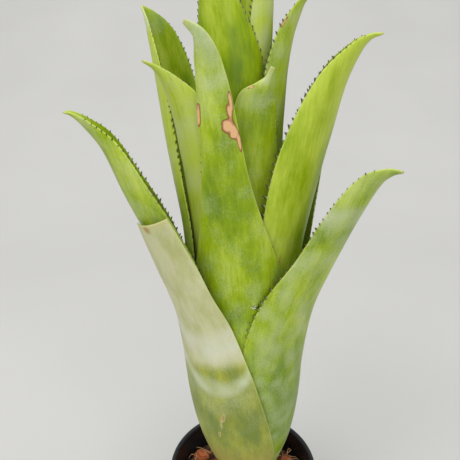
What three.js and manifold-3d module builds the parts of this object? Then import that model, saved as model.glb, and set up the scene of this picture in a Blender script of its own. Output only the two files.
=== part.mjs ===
// Potted tank bromeliad: a plastic nursery pot, a coir potting mix, loose husk chips,
// a short stem, an old cut leaf base and a rosette of strap leaves whose sheaths nest
// into one upright tube. Millimetres, +Z up, origin at the middle of the pot's foot.
import * as THREE from "three";
import { mergeVertices } from "three/addons/utils/BufferGeometryUtils.js";
import Module from "manifold-3d";

// ---- pot -------------------------------------------------------------------
const POT_HEIGHT = 88;
const POT_RIM_RADIUS = 50;
const POT_FOOT_RADIUS = 36;
const POT_WALL = 1.8;
const RIM_BAND = 11;
const RIM_LIP = 3.2;
const POT_SEGMENTS = 40;
const DRAIN_HOLES = 6;
const DRAIN_RADIUS = 4;
const DRAIN_CIRCLE = 26;

// ---- filling ---------------------------------------------------------------
const GAP = 0.4;
const MIX_TOP = 72;
const STEM_RADIUS = 12;
const STEM_SHIFT = 4;
const STEM_FOOT = 52;
const STEM_TOP = 118;

// ---- leaves ----------------------------------------------------------------
const LEAF_THICK = 1.2;
const MARGIN_THICK = 0.7;
const LEAF_ROWS = 17;
const LEAF_COLUMNS = 8;
const SHEATH_STATIONS = 6;
const SHEATH_PITCH = 1.8;
const LOWEST_LEAF = 79;
const LEAF_SPACING = 5;
const THROAT_BLEND = 45;

// Mid-surface radius of the outermost sheath against height: [height, radius].
const TUBE = [
  [74, 13], [84, 15.5], [90, 18.3], [108, 24.4], [125, 30],
  [142, 33], [158, 35], [181, 36.7], [196, 37.2], [240, 37.5],
];

// Every leaf: the way it faces (azimuth, 0 = +X, -90 = front), the sheath layer it
// grows on (0 = the outside of the tube), the height of its throat, the angle its sheath wraps at
// the base and at the throat, and its blade as stations
// [reach from the axis, sideways shift, height, width round the curve, wrap angle, turn].
// The turn, 0 where it is left out, rolls the blade about its own length, in degrees.
const LEAVES = [
  { name: "leaf_cut_pale", azimuth: -125, layer: -0.3, foot: 102, footSlant: 16, cutSlant: 5, throat: 190,
    wrap: [150, 80], blade: [
    [38, -4, 213, 42, 66], [42, -9, 231, 36, 66], [47, -13, 248, 34, 66],
    [52, -16, 264, 30, 66], [58, -19, 281, 25, 75]] },
  { name: "leaf_front_right", azimuth: -30, layer: 1, throat: 180, wrap: [122, 138], blade: [
    [41, 1, 220, 75, 142], [53, 3, 256, 56, 124], [64, 3, 284, 44, 110, -4],
    [71, 3, 299, 29, 94, -12], [76, 3, 304, 13, 80, -20], [81, 3, 306, 2, 70, -26]] },
  { name: "leaf_left_low", azimuth: -163, layer: 1, throat: 185, wrap: [124, 118], blade: [
    [40, 0, 225, 64, 124], [51, 0, 258, 59, 132], [64, 0, 289, 48, 128],
    [73, 0, 313, 34, 115], [81, 0, 325, 17, 105], [86, 0, 330, 7, 90], [89, 0, 331, 2, 80]] },
  { name: "leaf_back_low", azimuth: 88, layer: 2, throat: 180, wrap: [94, 94], blade: [
    [41, 0, 215, 54, 100], [51, 0, 242, 50, 105], [64, 0, 268, 40, 105],
    [75, 0, 286, 26, 100], [84, 0, 294, 11, 95], [91, 0, 294, 2, 90]] },
  { name: "leaf_front", azimuth: -97, layer: 2, throat: 195, wrap: [130, 126], blade: [
    [33, 0, 226, 66, 114], [36, -2, 262, 42, 80], [38, -6, 300, 24, 60],
    [40, -10, 335, 17, 60], [41, -13, 355, 12, 65], [42, -16, 365, 6, 75], [42, -22, 370, 2, 80]] },
  { name: "leaf_back_left", azimuth: 156, layer: 3, throat: 205, wrap: [124, 128], blade: [
    [34, 0, 262, 62, 120], [41, 0, 295, 54, 134], [46, 0, 320, 48, 145],
    [50, 0, 346, 40, 140], [53, 0, 362, 31, 125], [55, 0, 370, 21, 115], [57, 0, 375, 10, 100],
    [59, 0, 378, 2, 90]] },
  { name: "leaf_back_right", azimuth: 38, layer: 3, throat: 205, wrap: [104, 104], blade: [
    [34, 0, 228, 56, 106], [39, 0, 245, 52, 110], [47, 0, 275, 42, 110],
    [53, 0, 303, 30, 105], [60, 0, 327, 14, 100], [67, 0, 335, 2, 90]] },
  { name: "leaf_left_mid", azimuth: -145, layer: 4, throat: 205, wrap: [122, 122], blade: [
    [29, 0, 255, 56, 116], [32, 0, 290, 52, 120], [37, 0, 318, 44, 120],
    [42, 0, 336, 32, 112], [47, 0, 346, 16, 105], [51, 0, 351, 6, 95], [56, 0, 354, 2, 90]] },
  { name: "leaf_right", azimuth: -12, layer: 4, throat: 205, wrap: [122, 122], blade: [
    [31, 0, 245, 70, 140], [37, 0, 285, 76, 150], [43, 0, 315, 70, 155],
    [49, 0, 343, 48, 145], [55, 0, 358, 24, 120], [59, 0, 363, 10, 100], [64, 0, 365, 2, 90]] },
  { name: "leaf_front_right_inner", azimuth: -80, layer: 5, throat: 205, wrap: [100, 96], blade: [
    [26, 0, 252, 36, 88], [24, 0, 290, 27, 70], [24, 0, 320, 23, 60], [24, 1, 336, 20, 65],
    [25, 3, 342, 9, 70], [25, 5, 346, 3, 80], [26, 7, 351, 2, 80]] },
  { name: "leaf_right_inner", azimuth: -8, layer: 6, throat: 205, wrap: [112, 114], blade: [
    [23, 0, 240, 44, 120], [21, 0, 270, 46, 140], [19, 0, 310, 44, 145], [20, 0, 345, 38, 135],
    [22, 0, 362, 30, 125], [25, 0, 373, 20, 115], [28, 0, 380, 9, 100], [34, 0, 383, 2, 90]] },
  { name: "leaf_back_inner", azimuth: 104, layer: 7, throat: 235, wrap: [92, 92], blade: [
    [26, 0, 270, 38, 100], [33, 0, 305, 34, 100], [43, 0, 340, 28, 100],
    [54, 0, 362, 14, 90], [63, 0, 369, 2, 90]] },
  { name: "leaf_centre_front", azimuth: -100, layer: 7, throat: 205, wrap: [116, 118], blade: [
    [21, -1, 240, 43, 122],
    [18, -3, 275, 41, 132], [18, -5, 325, 42, 138], [19, -7, 354, 39, 138],
    [19, -11, 376, 24, 120], [19, -15, 392, 10, 100], [19, -19, 401, 2, 90]] },
  { name: "leaf_heart_back", azimuth: 95, layer: 8, throat: 205, wrap: [116, 126], blade: [
    [19, 0, 240, 42, 135],
    [16, 0, 290, 38, 150], [15, 0, 350, 34, 150], [16, 0, 385, 22, 130],
    [20, 0, 405, 9, 100], [23, 0, 412, 2, 90]] },
  { name: "leaf_heart", azimuth: -35, layer: 8, throat: 200, wrap: [100, 110], blade: [
    [16, 1, 238, 26, 115], [12, 2, 275, 24, 130], [11, 2, 345, 24, 130], [12, 1, 380, 18, 120],
    [13, 0, 400, 8, 105], [14, 0, 410, 2, 90]] },
];

const OLD_BASE = { azimuth: -30, foot: 74, top: 90, wrap: 170, outside: 2.2 };

// ---- husk chips ------------------------------------------------------------
const CHIP_RINGS = [
  { count: 12, radius: 35, centre: 0, size: 9.5 },
  { count: 7, radius: 23, centre: 2, size: 6.5 },
];

// ---- finishes --------------------------------------------------------------
const finish = (color, roughness) => new THREE.MeshStandardMaterial({ color, roughness, metalness: 0 });
const POT_PLASTIC = finish("#101214", 0.42);
const LEAF_GREEN = finish("#7c9a2c", 0.5);
const LEAF_PALE = finish("#b6b78f", 0.6);
const OLD_LEAF = finish("#6b5f35", 0.75);
const STEM_WOOD = finish("#4d4a24", 0.8);
const COIR_MIX = finish("#2f2118", 0.95);
const HUSK = finish("#8a5330", 0.9);

const wasm = await Module();
wasm.setup();

const group = new THREE.Group();

function place(name, geometry, material) {
  const mesh = new THREE.Mesh(geometry, material);
  mesh.name = name;
  group.add(mesh);
  return mesh;
}

const radians = THREE.MathUtils.degToRad;

// Small repeatable variation between -1 and 1, so every chip differs.
function vary(index, channel) {
  const wave = Math.sin(index * 12.9898 + channel * 78.233) * 43758.5453;
  return 2 * (wave - Math.floor(wave)) - 1;
}

// ---- joining and cutting ---------------------------------------------------
function solidOf(geometry) {
  const bare = geometry.index ? geometry.toNonIndexed() : geometry.clone();
  bare.deleteAttribute("normal");
  bare.deleteAttribute("uv");
  const merged = mergeVertices(bare, 1e-4);
  const vertProperties = new Float32Array(merged.attributes.position.array);
  const triVerts = new Uint32Array(merged.index.array);
  return new wasm.Manifold(new wasm.Mesh({ numProp: 3, vertProperties, triVerts }));
}

function geometryOf(solid) {
  const mesh = solid.getMesh();
  const geometry = new THREE.BufferGeometry();
  geometry.setAttribute("position", new THREE.BufferAttribute(mesh.vertProperties, 3));
  geometry.setIndex(new THREE.BufferAttribute(mesh.triVerts, 1));
  return geometry;
}

// Turns a profile of [radius, height] points about the Z axis.
function turned(points, segments) {
  const profile = points.map(([radius, height]) => new THREE.Vector2(radius, height));
  const geometry = new THREE.LatheGeometry(profile, segments);
  geometry.rotateX(Math.PI / 2);
  return geometry;
}

// ---- pot -------------------------------------------------------------------
// Radius of the pot's outer wall at a height below the rim band.
function potWall(height) {
  const wallTop = POT_RIM_RADIUS - RIM_LIP;
  return POT_FOOT_RADIUS + (wallTop - POT_FOOT_RADIUS) * (height / POT_HEIGHT);
}

function potGeometry() {
  const bandFoot = POT_HEIGHT - RIM_BAND;
  const edge = 1;
  const floorTop = 2.4;
  const shell = turned([
    [0, 0],
    [POT_FOOT_RADIUS - edge, 0],
    [POT_FOOT_RADIUS, edge],
    [potWall(bandFoot), bandFoot],
    [POT_RIM_RADIUS - 1.2, bandFoot + 0.6],
    [POT_RIM_RADIUS - 0.3, POT_HEIGHT - 3],
    [POT_RIM_RADIUS, POT_HEIGHT - 1.6],
    [POT_RIM_RADIUS - 0.8, POT_HEIGHT - 0.3],
    [POT_RIM_RADIUS - RIM_LIP / 2, POT_HEIGHT],
    [POT_RIM_RADIUS - RIM_LIP, POT_HEIGHT - 0.8],
    [potWall(bandFoot) - POT_WALL, bandFoot],
    [potWall(floorTop) - POT_WALL, floorTop],
    [0, floorTop],
  ], POT_SEGMENTS);
  let pot = solidOf(shell);
  for (let hole = 0; hole < DRAIN_HOLES; hole += 1) {
    const angle = (hole / DRAIN_HOLES) * 2 * Math.PI;
    const drill = new THREE.CylinderGeometry(DRAIN_RADIUS, DRAIN_RADIUS, 4 * floorTop, 12);
    drill.rotateX(Math.PI / 2);
    drill.translate(DRAIN_CIRCLE * Math.cos(angle), DRAIN_CIRCLE * Math.sin(angle), 0);
    pot = pot.subtract(solidOf(drill));
  }
  return geometryOf(pot);
}

// ---- potting mix and stem --------------------------------------------------
// A coir plug that fills the pot, with a socket that the stem stands in.
function mixGeometry() {
  const foot = 3;
  const room = POT_WALL + GAP;
  const plug = turned([
    [0, foot],
    [potWall(foot) - room, foot],
    [potWall(MIX_TOP) - room, MIX_TOP - 2],
    [potWall(MIX_TOP) - room - 4, MIX_TOP],
    [0, MIX_TOP],
  ], POT_SEGMENTS);
  const socket = turned([
    [0, STEM_FOOT - GAP],
    [STEM_RADIUS + GAP, STEM_FOOT - GAP],
    [STEM_RADIUS + GAP, MIX_TOP + GAP],
    [0, MIX_TOP + GAP],
  ], 20);
  socket.translate(STEM_SHIFT, 0, 0);
  return geometryOf(solidOf(plug).subtract(solidOf(socket)));
}

function stemGeometry() {
  const stem = turned([
    [0, STEM_FOOT],
    [STEM_RADIUS - 2, STEM_FOOT],
    [STEM_RADIUS, STEM_FOOT + 5],
    [STEM_RADIUS, STEM_TOP - 6],
    [STEM_RADIUS - 3, STEM_TOP - 1],
    [0, STEM_TOP],
  ], 20);
  stem.translate(STEM_SHIFT, 0, 0);
  return stem;
}

// ---- husk chips ------------------------------------------------------------
// One broken piece of coconut husk: a block with its corners pushed about, laid flat.
function chipGeometry(index, size) {
  const length = size * (1 + 0.18 * vary(index, 1));
  const width = size * (0.72 + 0.16 * vary(index, 2));
  const height = 4.6 + 1.4 * vary(index, 3);
  const chip = new THREE.BoxGeometry(length, width, height, 2, 2, 1);
  chip.deleteAttribute("normal");
  chip.deleteAttribute("uv");
  const block = mergeVertices(chip);
  const point = new THREE.Vector3();
  for (let corner = 0; corner < block.attributes.position.count; corner += 1) {
    point.fromBufferAttribute(block.attributes.position, corner);
    const lift = point.z > 0 ? 1 + 0.35 * vary(index * 20 + corner, 4) : 1;
    const squeeze = 1 + 0.14 * vary(index * 20 + corner, 5);
    block.attributes.position.setXYZ(corner, point.x * squeeze, point.y * squeeze, point.z * lift);
  }
  block.translate(0, 0, height / 2);
  return block;
}

function addChips() {
  let index = 0;
  for (const ring of CHIP_RINGS) {
    for (let step = 0; step < ring.count; step += 1) {
      index += 1;
      const angle = (step / ring.count) * 2 * Math.PI + 0.1 * vary(index, 6);
      const chip = place(`husk_chip_${index}`, chipGeometry(index, ring.size), HUSK);
      const x = ring.centre + ring.radius * Math.cos(angle);
      chip.position.set(x, ring.radius * Math.sin(angle), MIX_TOP + GAP);
      chip.rotation.z = angle + 0.9 * vary(index, 7);
    }
  }
}

// ---- leaves ----------------------------------------------------------------
// The rosette leans a little: its axis drifts along -X as it rises from the pot.
function axisShift(height) {
  return THREE.MathUtils.clamp(4 - 0.042 * (height - POT_HEIGHT), -1, 4.5);
}

function tubeRadius(height, layer) {
  let low = TUBE[0];
  for (const high of TUBE) {
    if (height <= high[0]) {
      const share = high === low ? 0 : (height - low[0]) / (high[0] - low[0]);
      return low[1] + share * (high[1] - low[1]) - layer * SHEATH_PITCH;
    }
    low = high;
  }
  return low[1] - layer * SHEATH_PITCH;
}

// Sheath stations follow the tube up to the throat, and the blade stations follow them.
function leafStations(leaf) {
  const foot = leaf.foot ?? LOWEST_LEAF + LEAF_SPACING * leaf.layer;
  const stations = [];
  for (let step = 0; step < SHEATH_STATIONS; step += 1) {
    const share = step / (SHEATH_STATIONS - 1);
    const height = foot + share * (leaf.throat - foot);
    const wrap = leaf.wrap[0] + share * (leaf.wrap[1] - leaf.wrap[0]);
    const radius = tubeRadius(height, leaf.layer);
    stations.push([radius, 0, height, radius, wrap, 0]);
  }
  for (const [reach, side, height, width, wrap, turn = 0] of leaf.blade) {
    stations.push([reach, side, height, width / radians(wrap), wrap, turn]);
  }
  return stations;
}

// Smooth curve through station values: cubic pieces with the neighbours' slope.
function through(knots, values, at) {
  const last = knots.length - 1;
  let piece = 0;
  while (piece < last - 1 && at > knots[piece + 1]) piece += 1;
  const slope = (index) => {
    const before = Math.max(index - 1, 0);
    const after = Math.min(index + 1, last);
    return (values[after] - values[before]) / (knots[after] - knots[before]);
  };
  const span = knots[piece + 1] - knots[piece];
  const u = (at - knots[piece]) / span;
  const rise = u * u * (3 - 2 * u);
  const leave = u * (1 - u) * (1 - u) * span * slope(piece);
  const arrive = u * u * (u - 1) * span * slope(piece + 1);
  return values[piece] + rise * (values[piece + 1] - values[piece]) + leave + arrive;
}

// The leaf's spine: its midrib point, its facing and sideways directions, the radius
// and half angle of its channel, at a distance along the leaf.
function leafSpine(leaf) {
  const facing = radians(leaf.azimuth);
  const outward = new THREE.Vector3(Math.cos(facing), Math.sin(facing), 0);
  const sideways = new THREE.Vector3(-Math.sin(facing), Math.cos(facing), 0);
  const stations = leafStations(leaf);
  const points = stations.map(([reach, side, height]) => {
    const point = outward.clone().multiplyScalar(reach).addScaledVector(sideways, side);
    return point.setZ(height).setX(point.x + axisShift(height));
  });
  const knots = [0];
  for (let step = 1; step < points.length; step += 1) {
    knots.push(knots[step - 1] + points[step].distanceTo(points[step - 1]));
  }
  const length = knots[knots.length - 1];
  const throat = knots[SHEATH_STATIONS - 1];
  const pick = (read) => (at) => through(knots, read, THREE.MathUtils.clamp(at, 0, length));
  const [px, py, pz] = ["x", "y", "z"].map((key) => pick(points.map((point) => point[key])));
  const midrib = (at) => new THREE.Vector3(px(at), py(at), pz(at));
  const radius = pick(stations.map((station) => station[3]));
  const halfAngle = pick(stations.map((station) => radians(station[4]) / 2));
  const turnAt = pick(stations.map((station) => radians(station[5])));
  const frame = (at) => {
    const along = midrib(at + 0.5).sub(midrib(at - 0.5)).normalize();
    const across = sideways.clone().addScaledVector(along, -sideways.dot(along)).normalize();
    const blend = THREE.MathUtils.smoothstep(at, throat, throat + THROAT_BLEND);
    const out = outward.clone().lerp(new THREE.Vector3().crossVectors(across, along), blend).normalize();
    const side = sideways.clone().lerp(across, blend);
    side.addScaledVector(out, -side.dot(out)).normalize();
    const turn = turnAt(at);
    return {
      out: out.clone().multiplyScalar(Math.cos(turn)).addScaledVector(side, Math.sin(turn)),
      side: side.clone().multiplyScalar(Math.cos(turn)).addScaledVector(out, -Math.sin(turn)),
    };
  };
  return { length, midrib, radius, halfAngle, frame };
}

// A leaf is a channel-shaped sheet, swept along its spine and closed all round.
function leafGeometry(leaf) {
  const spine = leafSpine(leaf);
  const outer = [];
  const inner = [];
  for (let row = 0; row <= LEAF_ROWS; row += 1) {
    for (let column = 0; column <= LEAF_COLUMNS; column += 1) {
      const across = (2 * column) / LEAF_COLUMNS - 1;
      const start = ((leaf.footSlant ?? 0) * (1 + across)) / 2;
      const end = spine.length - ((leaf.cutSlant ?? 0) * (1 - across)) / 2;
      const at = start + (row / LEAF_ROWS) * (end - start);
      const { out, side } = spine.frame(at);
      const radius = spine.radius(at);
      const angle = across * spine.halfAngle(at);
      const normal = out.clone().multiplyScalar(Math.cos(angle)).addScaledVector(side, Math.sin(angle));
      const point = spine.midrib(at).addScaledVector(out, -radius).addScaledVector(normal, radius);
      const half = (Math.abs(across) === 1 ? MARGIN_THICK : LEAF_THICK) / 2;
      outer.push(point.clone().addScaledVector(normal, half));
      inner.push(point.clone().addScaledVector(normal, -half));
    }
  }
  return closedSheet(outer, inner, LEAF_ROWS, LEAF_COLUMNS);
}

// Joins two grids of points, an outer and an inner face, into one closed solid.
function closedSheet(outer, inner, rows, columns) {
  const positions = [...outer, ...inner].flatMap((point) => [point.x, point.y, point.z]);
  const half = outer.length;
  const at = (row, column) => row * (columns + 1) + column;
  const index = [];
  const quad = (a, b, c, d) => index.push(a, b, c, a, c, d);
  for (let row = 0; row < rows; row += 1) {
    for (let column = 0; column < columns; column += 1) {
      const [a, b] = [at(row, column), at(row, column + 1)];
      const [d, c] = [at(row + 1, column), at(row + 1, column + 1)];
      quad(a, b, c, d);
      quad(half + a, half + d, half + c, half + b);
    }
    const [low, high] = [at(row, 0), at(row + 1, 0)];
    quad(low, high, half + high, half + low);
    const [lowFar, highFar] = [at(row, columns), at(row + 1, columns)];
    quad(highFar, lowFar, half + lowFar, half + highFar);
  }
  for (let column = 0; column < columns; column += 1) {
    const [left, right] = [at(0, column), at(0, column + 1)];
    quad(right, left, half + left, half + right);
    const [topLeft, topRight] = [at(rows, column), at(rows, column + 1)];
    quad(topLeft, topRight, half + topRight, half + topLeft);
  }
  const geometry = new THREE.BufferGeometry();
  geometry.setAttribute("position", new THREE.Float32BufferAttribute(positions, 3));
  geometry.setIndex(index);
  return geometry;
}

// The stub of an older leaf, cut off low down, which hugs the foot of the tube.
function oldBaseGeometry() {
  const rows = 3;
  const outer = [];
  const inner = [];
  for (let row = 0; row <= rows; row += 1) {
    for (let column = 0; column <= LEAF_COLUMNS; column += 1) {
      const across = (2 * column) / LEAF_COLUMNS - 1;
      const top = OLD_BASE.top - 6 * across * across;
      const height = OLD_BASE.foot + (row / rows) * (top - OLD_BASE.foot);
      const angle = radians(OLD_BASE.azimuth + (across * OLD_BASE.wrap) / 2);
      const radius = tubeRadius(height, 0) + OLD_BASE.outside;
      const ring = (distance) => new THREE.Vector3(
        distance * Math.cos(angle) + axisShift(height), distance * Math.sin(angle), height);
      outer.push(ring(radius + LEAF_THICK / 2));
      inner.push(ring(radius - LEAF_THICK / 2));
    }
  }
  return closedSheet(outer, inner, rows, LEAF_COLUMNS);
}

// ---- assembly --------------------------------------------------------------
place("pot", potGeometry(), POT_PLASTIC);
place("potting_mix", mixGeometry(), COIR_MIX);
addChips();
place("stem", stemGeometry(), STEM_WOOD);
place("old_leaf_base", oldBaseGeometry(), OLD_LEAF);
for (const leaf of LEAVES) {
  place(leaf.name, leafGeometry(leaf), leaf.cutSlant ? LEAF_PALE : LEAF_GREEN);
}

export default group;
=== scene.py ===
import math
import random

import bpy
import numpy as np
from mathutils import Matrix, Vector, noise


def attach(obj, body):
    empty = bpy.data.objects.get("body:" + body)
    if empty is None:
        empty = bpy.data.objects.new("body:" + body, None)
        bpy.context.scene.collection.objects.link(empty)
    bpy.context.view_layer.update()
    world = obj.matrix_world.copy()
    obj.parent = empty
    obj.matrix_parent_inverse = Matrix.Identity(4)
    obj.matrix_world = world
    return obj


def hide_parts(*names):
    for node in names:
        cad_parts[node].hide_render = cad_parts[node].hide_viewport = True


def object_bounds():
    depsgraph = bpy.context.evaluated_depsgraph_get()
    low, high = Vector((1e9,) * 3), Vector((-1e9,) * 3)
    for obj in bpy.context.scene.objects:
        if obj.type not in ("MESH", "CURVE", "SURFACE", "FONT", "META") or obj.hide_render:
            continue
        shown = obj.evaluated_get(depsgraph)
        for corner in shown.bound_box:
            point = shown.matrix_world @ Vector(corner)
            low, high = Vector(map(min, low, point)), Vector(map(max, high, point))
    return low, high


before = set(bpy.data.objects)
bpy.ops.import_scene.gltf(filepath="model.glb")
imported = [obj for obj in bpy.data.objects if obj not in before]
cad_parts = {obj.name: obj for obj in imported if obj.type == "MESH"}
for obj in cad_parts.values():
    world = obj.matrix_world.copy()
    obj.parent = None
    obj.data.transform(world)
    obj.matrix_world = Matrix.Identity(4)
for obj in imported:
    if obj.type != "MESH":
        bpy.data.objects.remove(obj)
cad_low, cad_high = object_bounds()

# ---- nursery pot -----------------------------------------------------------------
# A round nursery pot, thin-walled, with a turned-down rim band and six drain holes.
# Injection moulded in one shot of black polypropylene, so every edge is a small radius.
MM = 0.001
POT_HEIGHT = 88
POT_RIM_RADIUS = 50
POT_FOOT_RADIUS = 36
POT_WALL = 1.8
RIM_BAND = 11
RIM_LIP = 3.2
POT_SEGMENTS = 144
DRAIN_HOLES = 6
DRAIN_RADIUS = 4
DRAIN_CIRCLE = 26
DRILL_SIDES = 32
DRILL_REACH = 5
AXIS_GAP = 0.02


def linear(hex_colour):
    """The linear RGBA of one sRGB hex colour."""
    channels = [int(hex_colour[place:place + 2], 16) / 255 for place in (1, 3, 5)]
    curved = [c / 12.92 if c <= 0.04045 else ((c + 0.055) / 1.055) ** 2.4 for c in channels]
    return (*curved, 1.0)


def add(tree, kind, values=None, links=None, **settings):
    """Adds one node, with its settings, its input values and its links."""
    made = tree.nodes.new(kind)
    for name, setting in settings.items():
        setattr(made, name, setting)
    for socket, value in (values or {}).items():
        made.inputs[socket].default_value = value
    for socket, output in (links or {}).items():
        tree.links.new(output, made.inputs[socket])
    return made


def bare_material(name):
    """A material with its nodes cleared, and its node tree."""
    material = bpy.data.materials.new(name)
    material.use_nodes = True
    material.node_tree.nodes.clear()
    return material, material.node_tree


def piece(name, points, faces, materials, slots=None, smooth=True):
    """One mesh object from points in millimetres; slots gives each face its material."""
    mesh = bpy.data.meshes.new(name)
    mesh.from_pydata([tuple(MM * c for c in point) for point in points], [], faces)
    for material in materials:
        mesh.materials.append(material)
    if slots is not None:
        mesh.polygons.foreach_set("material_index", slots)
    mesh.polygons.foreach_set("use_smooth", [smooth] * len(mesh.polygons))
    mesh.validate()
    made = bpy.data.objects.new(name, mesh)
    bpy.context.scene.collection.objects.link(made)
    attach(made, "root")
    return made


def turned(profile, segments, ripple=None):
    """Points and faces of a closed profile of (radius, height), turned about the Z axis."""
    points, faces, count = [], [], len(profile)
    for step in range(segments):
        angle = 2 * math.pi * step / segments
        for radius, height in profile:
            reach = radius + (ripple(angle, radius, height) if ripple else 0.0)
            points.append((reach * math.cos(angle), reach * math.sin(angle), height))
    for step in range(segments):
        here, there = step * count, (step + 1) % segments * count
        for row in range(count):
            up = (row + 1) % count
            faces.append((here + row, there + row, there + up, here + up))
    return points, faces


def pot_wall(height):
    """Radius of the pot's outer wall below the rim band."""
    top = POT_RIM_RADIUS - RIM_LIP
    return POT_FOOT_RADIUS + (top - POT_FOOT_RADIUS) * height / POT_HEIGHT


def pot_profile():
    """The wall's section, from the centre of the foot round to the centre of the floor."""
    band_foot = POT_HEIGHT - RIM_BAND
    section = [(AXIS_GAP, 1.2), (16, 1.2), (17, 0.3), (18, 0.0), (POT_FOOT_RADIUS - 3, 0.0)]
    section += [(POT_FOOT_RADIUS - 1.1, 0.1), (POT_FOOT_RADIUS - 0.2, 0.7), (pot_wall(2), 2.0)]
    section += [(pot_wall(z), z) for z in (10, 24, 38, 52, 64, band_foot - 2.2)]
    section += [(pot_wall(band_foot) + 0.25, band_foot - 0.5), (POT_RIM_RADIUS - 1.5, band_foot + 0.1)]
    section += [(POT_RIM_RADIUS - 1.0, band_foot + 0.8), (POT_RIM_RADIUS - 0.8, band_foot + 3)]
    section += [(POT_RIM_RADIUS - 0.4, POT_HEIGHT - 3.2), (POT_RIM_RADIUS - 0.1, POT_HEIGHT - 2.2)]
    section += [(POT_RIM_RADIUS, POT_HEIGHT - 1.5), (POT_RIM_RADIUS - 0.3, POT_HEIGHT - 0.7)]
    section += [(POT_RIM_RADIUS - 0.9, POT_HEIGHT - 0.2), (POT_RIM_RADIUS - 1.6, POT_HEIGHT)]
    section += [(POT_RIM_RADIUS - 2.4, POT_HEIGHT - 0.2), (POT_RIM_RADIUS - 3.1, POT_HEIGHT - 0.9)]
    section += [(POT_RIM_RADIUS - 3.5, POT_HEIGHT - 2.2)]
    section += [(pot_wall(z) - POT_WALL, z) for z in (band_foot, 60, 40, 20, 5)]
    section += [(pot_wall(3) - POT_WALL - 0.8, 3.0), (pot_wall(3) - POT_WALL - 2, 2.4), (AXIS_GAP, 2.4)]
    return section


def drilled(made, drills):
    """Cuts the drills out of a piece and puts the result back in its mesh."""
    for drill in drills:
        cut = made.modifiers.new("drain", "BOOLEAN")
        cut.operation = "DIFFERENCE"
        cut.solver = "EXACT"
        cut.object = drill
    graph = bpy.context.evaluated_depsgraph_get()
    result = bpy.data.meshes.new_from_object(made.evaluated_get(graph))
    made.modifiers.clear()
    made.data = result
    for drill in drills:
        bpy.data.objects.remove(drill)


# Black moulded polypropylene: a very dark grey with a soft broad sheen, finely pebbled.
polypropylene, tree = bare_material("moulded_polypropylene")
PEBBLE_MM = 0.6
DUST_MM = 16.7
where = add(tree, "ShaderNodeTexCoord")
pebble = add(tree, "ShaderNodeTexNoise", {"Scale": 1000 / PEBBLE_MM, "Detail": 2.0},
             {"Vector": where.outputs["Object"]})
dust = add(tree, "ShaderNodeTexNoise", {"Scale": 1000 / DUST_MM, "Detail": 5.0, "Roughness": 0.6},
           {"Vector": where.outputs["Object"]})
dusting = add(tree, "ShaderNodeMapRange", {"From Min": 0.5, "From Max": 0.85, "To Max": 0.3},
              {"Value": dust.outputs["Fac"]})
skin = add(tree, "ShaderNodeMix", {6: linear("#0a0c0f"), 7: linear("#26292b")},
           {0: dusting.outputs["Result"]}, data_type="RGBA")
gloss = add(tree, "ShaderNodeMapRange", {"From Min": 0.3, "From Max": 0.7, "To Min": 0.24, "To Max": 0.4},
            {"Value": dust.outputs["Fac"]})
grain = add(tree, "ShaderNodeBump", {"Strength": 0.12, "Distance": 0.0002},
            {"Height": pebble.outputs["Fac"]})
shell = add(tree, "ShaderNodeBsdfPrincipled", {"IOR": 1.49},
            {"Base Color": skin.outputs[2], "Roughness": gloss.outputs["Result"], "Normal": grain.outputs[0]})
add(tree, "ShaderNodeOutputMaterial", links={"Surface": shell.outputs[0]})

pot_points, pot_faces = turned(pot_profile(), POT_SEGMENTS)
pot = piece("nursery_pot", pot_points, pot_faces, [polypropylene])
drills = []
for hole in range(DRAIN_HOLES):
    angle = 2 * math.pi * hole / DRAIN_HOLES
    x, y = DRAIN_CIRCLE * math.cos(angle), DRAIN_CIRCLE * math.sin(angle)
    turns = [2 * math.pi * side / DRILL_SIDES for side in range(DRILL_SIDES)]
    rod = [(x + DRAIN_RADIUS * math.cos(turn), y + DRAIN_RADIUS * math.sin(turn), z)
           for z in (-DRILL_REACH, DRILL_REACH) for turn in turns]
    rod_faces = [(side, (side + 1) % DRILL_SIDES, DRILL_SIDES + (side + 1) % DRILL_SIDES, DRILL_SIDES + side)
                 for side in range(DRILL_SIDES)]
    rod_faces += [tuple(reversed(range(DRILL_SIDES))), tuple(range(DRILL_SIDES, 2 * DRILL_SIDES))]
    drills.append(piece("drill", rod, rod_faces, []))
drilled(pot, drills)
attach(pot, "root")
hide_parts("pot")

# ---- potting mix -----------------------------------------------------------------
# Damp coir and bark fines that fill the pot to a finger's breadth below the rim.
# Loose crumbs, tipped in and settled by watering, so the top is lumpy all over.
MIX_TOP = 72
MIX_RINGS = 90
MIX_SEGMENTS = 220
MIX_FOOT = 3.2
MIX_WAIST = 40
MIX_GAP = 0.5
MIX_SINK = 1.2
MIX_ROLL = 1.1
CRUMBS = ((0.8, 5.5), (0.45, 2.4))


def lumpy(x, y, size):
    """Height of crumbs of a size in millimetres at a place, from about -1 to 1."""
    cells = noise.voronoi(Vector((x / size, y / size, 3.0)))[0]
    return 1 - 2 * min(cells[0], 1.0)


def mix_height(x, y):
    """Height of the mix's top at a place."""
    rolling = MIX_ROLL * noise.fractal(Vector((x / 16, y / 16, 0.0)), 1.0, 2.0, 3)
    return MIX_TOP - MIX_SINK + rolling + sum(high * lumpy(x, y, size) for high, size in CRUMBS)


def ring_faces(rings, sides, first=0):
    """Faces between rings of points with as many sides each, numbered from the first."""
    faces = []
    for ring in range(rings - 1):
        here = first + ring * sides
        for side in range(sides):
            a, b = here + side, here + (side + 1) % sides
            faces.append((a, a + sides, b + sides, b))
    return faces


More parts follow.
